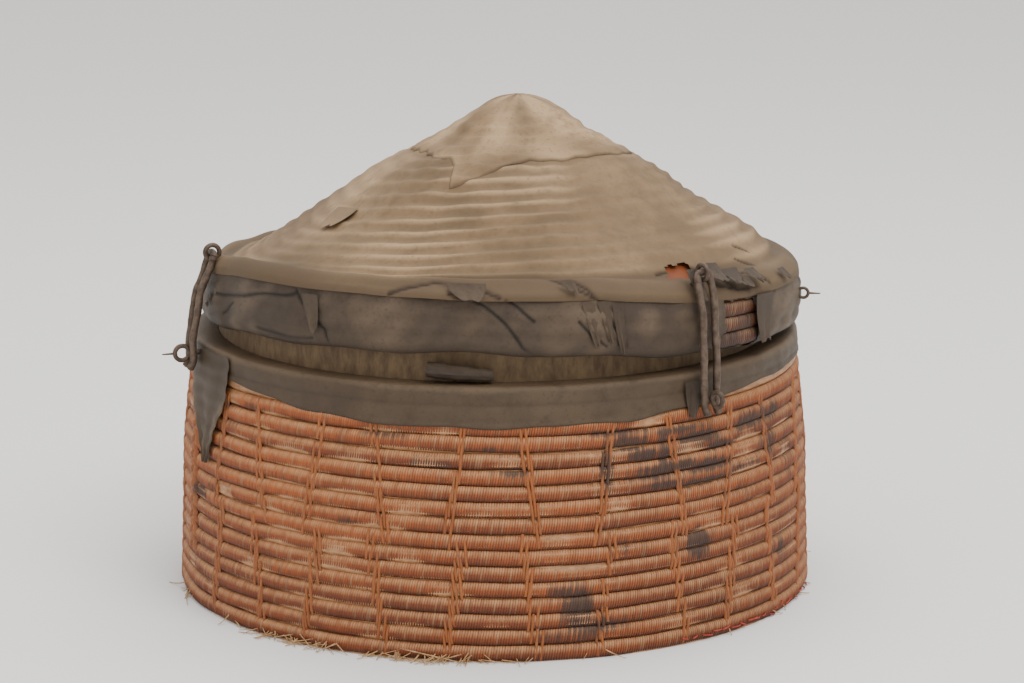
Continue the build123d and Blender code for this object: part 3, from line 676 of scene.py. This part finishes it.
def lidCone():
    azimuth, at, radius, height, outR, outZ, push, ribs = coneGrid(coneCover["count"], 0.0,
        coneLength - 0.2, coneCover["steps"], coneCover["lift"], 71)
    crack = crackDepth(azimuth, at + 52, 1.4)
    push = push - 1.8 * smoothStep(4.0, 0.0, at) - 1.5 * crack
    points = polar(azimuth, np.maximum(radius + outR * push, 0.01), height + outZ * push)
    points[:, -1] = points[:, -1].mean(axis=0)
    # pale share: wear and painted highlight on the rib crests, and a painted highlight growing up the flatter
    # top of the cone, which faces the light
    wearAndHighlight = 0.5 * ribs + 0.35 * smoothStep(60, 260, at) + 0.3 * ripple(75, azimuth, at / 40, 8, 8, 1) + 0.05
    # dark share: painted shade in the seam crease at the lower edge, a painted shadow line behind the
    # shoulder roll, darker over the roll near the edge, grime and painted shade in the rib valleys, real dark
    # patches and marks
    dark = (0.8 * smoothStep(6, 0, at) + 0.3 * np.exp(-((at - 27) / 7) ** 2)
        * (0.7 + 0.5 * ripple(76, azimuth, at / 20, 6, 12, 1)))
    dark = (dark + 0.66 * smoothStep(42, 20, at) + 0.22
        * np.clip(ripple(77, azimuth, at / 35, 10, 7, 1.0), 0, 2) - 0.17 * ribs)
    turned = np.degrees(azimuth)
    dark = dark + 0.5 * np.exp(-((turned - 47) / 11) ** 2 - ((at - 22) / 18) ** 2)
    for middle, level, wide, tall, depth in coneCover["marks"]:
        dark = dark + depth * np.exp(-((turned - middle) / wide) ** 2 - ((at - level) / tall) ** 2)
    ragged = ripple(78, azimuth, at / 4, 10, 120, 1.0)
    inside = (np.abs(turned - 39.0) < 2.8 + 0.5 * ragged) & (np.abs(at - 33) < 6 + 1.5 * ragged)
    inside = inside | ((np.abs(turned - 47.5) < 2.0 + 0.6 * ragged) & (np.abs(at - 24) < 5 + 1.5 * ragged))
    layers = {"wearAndHighlight": wearAndHighlight, "dark": np.clip(dark, 0, 0.9), "crack": np.clip(crack * 1.2, 0, 1) * 0.9,
              "roundway": azimuth * radius * 0.01, "upway": at * 0.02 + 0 * azimuth}
    piece = gridPiece("lid_cone_cloth", lidPlace(points), True, layers, coneCloth, "lid",
        keep=aroundHoles(inside))
    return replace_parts(piece, "lid_cone_cover")


def lidCoils():
    # the coiled shell under the cloth: up the outside to the apex and back down the ribbed inside
    azimuth, at, radius, height, outR, outZ, push, ribs = coneGrid(300, 0.0, coneLength, 120, 0.0, 71)
    roll = coneCover["roll"] * np.exp(-((at - 11) / 10) ** 2)
    outer, inner = (1.8 + roll - 3.5 * smoothStep(9, 0, at) + 0 * azimuth,
        -5.0 - 1.6 * np.abs(np.cos(at / conePitch * np.pi)) + 0 * azimuth)
    outside = polar(azimuth, np.maximum(radius + outR * outer, 0.01), height + outZ * outer)
    within = polar(azimuth, np.maximum(radius + outR * inner, 0.01), height + outZ * inner)
    loop = np.concatenate([within[:, :1], outside, within[:, ::-1]], axis=1)
    shell = {"wrap": azimuth * 90, "row": np.concatenate([at[:, :1], at, at[:, ::-1]], axis=1) / conePitch,
        "face": -0.1, "stain": 0.1}
    piece = gridPiece("cone_coils", lidPlace(loop), True, shell, cane, "lid")
    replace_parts(piece, "lid_cone_coil")
    up = np.linspace(0, 1, 60)[None]
    level = 2.5 + 44.0 * up
    swell = np.abs(np.cos((level - lidRows["first"]) / lidRows["pitch"] * np.pi)) ** 0.7
    outside = polar(azimuth, 275.5 + 3.2 * swell + 0 * azimuth, level + 0 * azimuth)
    within = polar(azimuth, 272.3 - 2.6 * swell + 0 * azimuth, level + 0 * azimuth)
    loop = np.concatenate([outside, within[:, ::-1], outside[:, :1]], axis=1)
    shell = {"wrap": azimuth * 90, "row": 0.5, "face": 0.2, "stain": 0.1}
    piece = gridPiece("side_coils", lidPlace(loop), True, shell, lidCane, "lid")
    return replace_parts(piece, "lid_side_coil")


lidCoils()
lidCone()
print("cone ready")

# apex cap
cap = {"reach": 165, "edge": [(-180, 105), (-140, 112), (-95, 106), (-60, 104), (-45, 112), (-33, 118),
    (-27, 125), (-21.5, 158), (-12, 141), (-2, 125), (8, 115), (35, 113), (60, 122), (80, 124), (110, 108),
    (145, 114), (180, 105)]}


def apexCap():
    edge = np.interp(np.degrees(frontDense(420)), *np.array(cap["edge"]).T)
    share = np.linspace(0, 1, 60)
    last = coneLength - 0.3
    azimuth, at, radius, height, outR, outZ, push, ribs = coneGrid(420, coneLength - cap["reach"], last, 80,
        coneCover["lift"] + 1.2, 71)
    start = coneLength - edge[:, None] + 1.0 * ripple(81, azimuth, 0, 6, 40, 1)
    where = start + (last - start) * share[None]
    arcTable = np.linspace(coneLength - cap["reach"], last, 80)
    pick = lambda values: np.stack([np.interp(where[i], arcTable, np.broadcast_to(values, push.shape)[i])
        for i in range(len(where))])
    radius, height, outR, outZ, push = (pick(values) for values in (radius, height, outR, outZ, push))
    push = (push + 0.5 * smoothStep(0.0, 0.06, share[None])
        + 0.35 * ripple(82, azimuth, share[None] * 7, 10, 20, 1))
    push[:, 0] -= 1.2
    points = polar(azimuth, np.maximum(radius + outR * push, 0.01), height + outZ * push)
    points[:, -1] = points[:, -1].mean(axis=0) + np.array([0, 0, 0.3])
    # pale share: random patches and a painted highlight growing towards the apex
    wearAndHighlight = 0.4 + 0.3 * ripple(83, azimuth, share[None] * 5, 8, 10, 1) + 0.25 * share[None]
    # painted shadow along the cap's lower edge, over random dark patches
    dark = (0.9 * smoothStep(0.03, 0.0, share[None])
        + 0.25 * np.clip(ripple(84, azimuth, share[None] * 4, 8, 8, 1.0), 0, 2))
    layers = {"wearAndHighlight": wearAndHighlight, "dark": dark, "crack": 0.0, "roundway": azimuth * radius * 0.01,
        "upway": where * 0.02}
    piece = gridPiece("apex_cloth", lidPlace(points), True, layers, coneCloth, "lid")
    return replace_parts(piece, "apex_cap")


apexCap()

# cloth round the lid's side, torn open at the right
side = {"count": 900, "steps": 46, "tearFrom": 44.2, "tearTo": 54.8, "tearLow": 2.5, "tearTop": 46.5}


def lidSide():
    # profile from the seam down the side, rolled under the lower edge
    corners = [(275.5, 52.5), (279.6, 51.0), (282.4, 45.0), (284.4, 35.0), (284.9, 24.0), (284.0, 12.0),
        (282.4, 5.0), (279.6, 0.8), (274.5, -0.2), (270.4, 0.6)]
    line = roundedPath(corners, 0.5, 2.0)
    pick = np.linspace(0, len(line) - 1, side["steps"]).astype(int)
    radial, height = line[pick, 0][None], line[pick, 1][None]
    azimuth = frontDense(side["count"])[:, None]
    outward = smoothStep(0, 12, height)
    crack = crackDepth(azimuth, height, 1.3) * outward
    coils = 0.5 * np.cos((height - lidRows["first"]) / lidRows["pitch"] * tau) * outward
    pull = (1.0 * ripple(91, azimuth, height / 40, 10, 18, 1.0)
        + 0.55 * ripple(92, azimuth, height / 8, 14, 60, 1.0))
    radial = radial + (coils + 0.7 * pull) * (0.3 + 0.7 * outward) - 1.5 * crack
    height = height + 0.9 * ripple(93, azimuth, 0, 8, 16, 1.0) * smoothStep(30, 0, height)
    points = polar(azimuth, radial, height)
    turned = np.degrees(azimuth)
    ragged = 1.2 * ripple(94, azimuth, height / 5, 10, 90, 1.0)
    inside = (turned > side["tearFrom"] + ragged * 0.6) & (turned < side["tearTo"] + ragged * 0.5)
    inside = inside & (height > side["tearLow"] + ragged) & (height < side["tearTop"] + ragged)
    near = np.minimum(np.abs(turned - side["tearFrom"]), np.abs(turned - side["tearTo"])) * perDegree
    # pale share: painted highlight on outward folds and across the upper middle of the side's roll, paler
    # towards the right
    wearAndHighlight = (0.12 + 0.28 * pull + 0.25 * smoothStep(15, 30, height) * smoothStep(48, 36, height)
        + 0.35 * smoothStep(34, 56, turned))
    # painted shadow under the seam at the top, painted shade where the cloth rolls under the lower edge,
    # darker along the tear's edges
    dark = (0.7 * smoothStep(48, 53, height) + 0.55 * smoothStep(8, -1, height)
        + 0.4 * np.exp(-(near / 5) ** 2) * (height < 50))
    layers = {"wearAndHighlight": wearAndHighlight, "dark": np.clip(dark, 0, 0.85), "crack": np.clip(crack * 1.1, 0, 0.9),
              "roundway": azimuth * 2.8, "upway": height * 0.02}
    piece = gridPiece("lid_side_cloth", lidPlace(points)[:, ::-1], True,
        {k: np.broadcast_to(v, points.shape[:2])[:, ::-1] for k, v in layers.items()}, sideCloth, "lid",
        keep=aroundHoles(inside)[:, ::-1])
    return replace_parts(piece, "lid_side_cover")


lidSide()

# coil rows seen through the tear
rows = []
for index in range(3):
    level = lidRows["first"] + lidRows["pitch"] * index
    points, layers = coilRow(index, 620, 40.5, 58.5, 280.3, level, 0.8, 300 + index)
    rows.append((points, {**layers, "stain": layers["stain"] * 0 + 0.28
        + 0.2 * ripple(310 + index, np.radians(layers["wrap"]), 0, 5, 20, 1)}))
coilPiece("tear_wraps", rows, False, lidCane, "lid", lidPlace)
print("side ready")


# loose flaps of cloth and leather
def flap(name, material, body, azimuth, level, wide, tall, radius, curl, skew, seed, layersDark=0.1,
        lean=0.0, count=26, place=lidPlace):
    # a small sheet standing a little off the surface, its free end curled out
    across = np.linspace(-1, 1, count)[:, None]
    down = np.linspace(0, 1, count)[None]
    taper = 1 - 0.55 * down ** 2
    turn = np.radians(azimuth) + (across * wide / 2 * taper + skew * down) / radius
    height = level - tall * down + 1.3 * ripple(seed, across * 2, down * 5, 5, 3, 1) * down
    out = (radius + 0.8 + curl * down ** 2.2 + 0.9 * np.sin(across * 5 + seed) * down
        + lean * (height - level))
    points = polar(turn, out, height)
    layers = {"wearAndHighlight": 0.4 + 0.3 * down + 0 * across, "dark": layersDark + 0.3 * (np.abs(across) > 0.93),
        "crack": 0.0, "roundway": across, "upway": down}
    piece = gridPiece(name, place(points), False, layers, material, body)
    return piece


flaps = [
    ("flap_flank", coneCloth, -61.0, 119.0, 42, 13, 164.0, 5.0, 6, 411, 0.35, -1.5),
    ("flap_edge_a", sideCloth, 66.0, 66.0, 15, 9, 279.0, 3.0, 2, 412, 0.3, -0.8),
    ("flap_edge_b", sideCloth, 12.0, 66.0, 13, 10, 279.5, 2.0, 5, 413, 0.2, -0.6),
    ("flap_edge_c", sideCloth, -70.0, 30.0, 12, 12, 284.4, 3.5, 3, 414, 0.2, 0.0),
    ("flap_front", sideCloth, -6.0, 64.0, 34, 14, 280.0, 2.5, 4, 401, 0.0, -0.55),
    ("flap_strip_a", sideCloth, 15.5, 47.0, 11, 36, 284.6, 2.6, 9, 402, 0.05, 0.0),
    ("flap_strip_b", sideCloth, 18.3, 48.0, 10.5, 33, 284.6, 2.2, 8, 403, 0.15, 0.0),
    ("flap_strip_c", sideCloth, 21.0, 46.0, 10.5, 40, 284.8, 1.6, 6, 404, 0.25, 0.0),
    ("flap_left", sideCloth, -36.0, 44.0, 18, 30, 284.6, 1.8, 5, 405, 0.1, 0.0),
    ("fold_right", sideCloth, 57.0, 49.0, 30, 46, 284.6, 3.5, -3, 406, 0.3, 0.0),
    ("flap_shoulder_a", sideCloth, 44.0, 78.0, 24, 12, 264.0, 5.0, 3, 407, 0.25, -1.25),
    ("flap_shoulder_b", sideCloth, 49.0, 74.0, 22, 11, 270.0, 4.5, -4, 408, 0.35, -1.2),
    ("flap_shoulder_c", sideCloth, 54.5, 72.0, 17, 11, 273.0, 3.2, 3, 409, 0.2, -1.2),
    ("flap_shoulder_d", sideCloth, 51.5, 66.0, 17, 9, 278.5, 2.6, 1, 410, 0.1, -0.8)]
for name, material, azimuth, level, wide, tall, radius, curl, skew, seed, dark, lean in flaps:
    flap(name, material, "lid", azimuth, level, wide, tall, radius, curl, skew, seed, dark, lean)
patch = flap("lid_eye_leather", scrapLeather, "lid", 38.4, 76.0, 15, 26, 272.5, 1.0, 1.0, 420, 0.2, -0.62)
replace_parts(patch, "lid_eye_patch")
leaf = flap("hasp_foot_leather", scrapLeather, "basket", 37.7, 238.0, 20, 33, 289.8, 0.8, -1.0, 421, 0.45,
    0.0, place=lambda points: points)
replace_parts(leaf, "body_eye_patch")


def gapScrap():
    # leather rolled up on itself, a loose spiral lying along the rim
    turn = np.linspace(0, 2.6 * np.pi, 60)[:, None]
    along = np.linspace(-1, 1, 40)[None]
    curlRadius = ((8.6 - 0.8 * turn / np.pi) * (1 - 0.3 * (0.5 + along / 2) ** 2)
        + 0.55 * ripple(431, turn, along * 4, 5, 3, 1))
    middle = np.radians(-6.0 + along * 6.1)
    radial = 272.0 + curlRadius * np.cos(turn) * 1.1
    height = wall["top"] + 11.0 + curlRadius * np.sin(turn) * 0.9 - 1.6 * along
    points = polar(middle + 0 * turn, radial, height)
    # painted highlight on the upper side of each turn of the roll
    layers = {"wearAndHighlight": 0.1 + 0.5 * np.sin(turn) + 0 * along, "dark": 0.25, "crack": 0.0,
        "roundway": along + 0 * turn, "upway": turn}
    piece = gridPiece("rolled_leather", points, False, layers, scrapLeather, "basket")
    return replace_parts(piece, "gap_scrap")


gapScrap()
print("flaps ready")

# iron
hasp = {"rod": 3.4, "bar": 3.2, "spread": 7.5, "toeSpread": 6.9, "legRadius": 297.0,
    "eyeHeights": {"left": 235.95, "right": 221.65, "rear": 221.65}}


def haspPiece(name, azimuth, pivot):
    # hairpin: two legs from a bar that passes through the lid's eye, toes kicked outwards
    out = np.hypot(pivot[0], pivot[1]) * 1000
    top = pivot[2] * 1000
    latch = hasp["eyeHeights"][name]
    leg = hasp["legRadius"]
    half = [(leg + 4.5, hasp["toeSpread"], latch - 15), (leg, hasp["toeSpread"], latch - 8),
        (leg, hasp["spread"], latch + 14), ((out + leg) / 2 + 3, hasp["spread"], top - 36),
        (out + 1.2, hasp["spread"] + 0.1, top - 4), (out, hasp["spread"] - 0.6, top)]
    corners = half + [(radius, -across, height) for radius, across, height in reversed(half)]
    line = roundedPath(corners, 0.9, 1.9)
    at = np.linspace(0, 1, len(line))
    wander = np.sin(at * np.pi) ** 0.5 * (np.abs(at - 0.5) > 0.06)
    line[:, 0] += 0.5 * np.sin(at * 31 + pivot[0] * 9) * wander
    line[:, 1] += 0.45 * np.sin(at * 23 + pivot[1] * 9) * wander
    turn = np.radians(azimuth)
    points = np.stack([line[:, 0] * np.sin(turn) + line[:, 1] * np.cos(turn),
        -line[:, 0] * np.cos(turn) + line[:, 1] * np.sin(turn), line[:, 2]], axis=1)
    bar = np.abs(at - 0.5) < 0.035
    radii = (np.where(bar, hasp["bar"] - 0.1, hasp["rod"])
        * (1 + 0.05 * np.sin(at * 57) + 0.03 * np.sin(at * 141)))
    radii[:2] *= np.array([0.55, 0.9])
    radii[-2:] *= np.array([0.9, 0.55])
    radii[0], radii[-1] = 0.4, 0.4
    vertices, faces = tubes(points[None], radii[None], 14)
    piece = meshPiece(f"hasp_{name}_iron", vertices, faces, {}, iron, f"hasp_{name}")
    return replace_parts(piece, f"hasp_{name}")


for joint in frame["joints"]:
    if joint["type"] == "hinge":
        name = joint["child"].split("_")[1]
        pivot = np.array(joint["pos_m"])
        haspPiece(name, np.degrees(np.arctan2(pivot[0], -pivot[1])), pivot)

# straws and red thread at the foot
def strawBits():
    rng = np.random.default_rng(17)
    places = np.concatenate([rng.normal(-72, 2.5, 9), rng.normal(-42, 5, 16), rng.normal(-30, 5, 20),
        rng.normal(-11, 6, 30), rng.normal(-5, 4, 14), rng.uniform(-180, 180, 24)])
    step = np.linspace(0, 1, 6)
    paths, radii = [], []
    for place in places:
        turn = np.radians(place + rng.normal(0, 3.0) * step)
        length = rng.uniform(3, 16)
        radial = 299.0 + length * step + 1.0
        height = 1.0 + rng.uniform(0.5, 9) * (1 - step) ** rng.uniform(0.7, 1.8)
        paths.append(polar(turn, radial, height))
        radii.append(rng.uniform(0.4, 0.8) * (1 - 0.5 * step))
    vertices, faces = tubes(paths, radii, 5)
    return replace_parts(meshPiece("straw_ends", vertices, faces, {}, straw, "basket"),
        "foot_straws")


def redStitches():
    rng = np.random.default_rng(19)
    step = np.linspace(0, 1, 7)
    paths, radii = [], []
    for place in np.arange(34, 78, 2.3):
        slant = rng.normal(0, 1.0)
        turn = np.radians(place + (1.6 + slant) * step)
        level = 4.5 + rng.uniform(-1, 3)
        height = level + (5 * rng.uniform(-1, 1)) * step
        radial = 301.6 + 1.0 * np.sin(step * np.pi) - 0.1 * np.abs(height - 7)
        paths.append(polar(turn, radial, np.maximum(height, 1.2)))
        radii.append(np.full(7, 0.65))
    vertices, faces = tubes(paths, radii, 6)
    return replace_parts(meshPiece("red_stitches", vertices, faces, {}, redThread, "basket"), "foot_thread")


strawBits()
redStitches()
print("small parts ready")

# CAD pieces that keep their own shape
own = {"floor_coil": innerCane, "foot_coil": innerCane, "wall_coil": innerCane, "rim_coil": innerCane,
    "neck_collar": collarFibre, "body_eye_left": iron, "body_eye_right": iron, "body_eye_rear": iron,
    "lid_eye_left": iron, "lid_eye_right": iron, "lid_eye_rear": iron, "lid_side_eye": iron}
for node, material in own.items():
    mesh = frame["nodes"][node].data
    mesh.materials.clear()
    mesh.materials.append(material)

# floor, light and camera
def stagePlane(name, size, height, colour):
    mesh = bpy.data.meshes.new(name)
    half = size / 2
    mesh.from_pydata([(-half, -half, height), (half, -half, height), (half, half, height),
        (-half, half, height)], [], [(0, 1, 2, 3)])
    material, _, shader = newMaterial(name)
    shader.inputs["Base Color"].default_value = (*colour, 1)
    shader.inputs["Roughness"].default_value = 0.85
    mesh.materials.append(material)
    plane = bpy.data.objects.new(name, mesh)
    bpy.context.scene.collection.objects.link(plane)


stagePlane("floor", 30.0, 0.0, (0.8, 0.79, 0.77))


def areaLight(name, place, target, size, power):
    light = bpy.data.lights.new(name, "AREA")
    light.shape = "DISK"
    light.size = size
    light.energy = power
    lamp = bpy.data.objects.new(name, light)
    lamp.location = place
    away = np.array(place) - np.array(target)
    lamp.rotation_euler = (np.arctan2(np.hypot(away[0], away[1]), away[2]), 0,
        np.arctan2(away[0], -away[1]))
    bpy.context.scene.collection.objects.link(lamp)


areaLight("key", (1.3, -2.0, 3.2), (0, 0, 0.2), 2.2, 85)
areaLight("fill", (-2.4, -2.6, 1.8), (0, 0, 0.2), 2.6, 14)
areaLight("top", (0.2, 0.6, 3.4), (0, 0, 0.2), 2.6, 60)
world = bpy.data.worlds.new("studio")
world.use_nodes = True
world.node_tree.nodes["Background"].inputs[0].default_value = (1.0, 0.985, 0.965, 1)
world.node_tree.nodes["Background"].inputs[1].default_value = 1.15
bpy.context.scene.world = world

# tip in degrees from straight down
shot = {"lens": 115.9, "sensor": 36.0, "place": (0.0166, -3.072, 0.883), "tip": 77.9}
lens = bpy.data.cameras.new("view")
lens.lens = shot["lens"]
lens.sensor_width = shot["sensor"]
camera = bpy.data.objects.new("view", lens)
camera.location = shot["place"]
camera.rotation_euler = (np.radians(shot["tip"]), 0, 0)
bpy.context.scene.collection.objects.link(camera)
bpy.context.scene.camera = camera
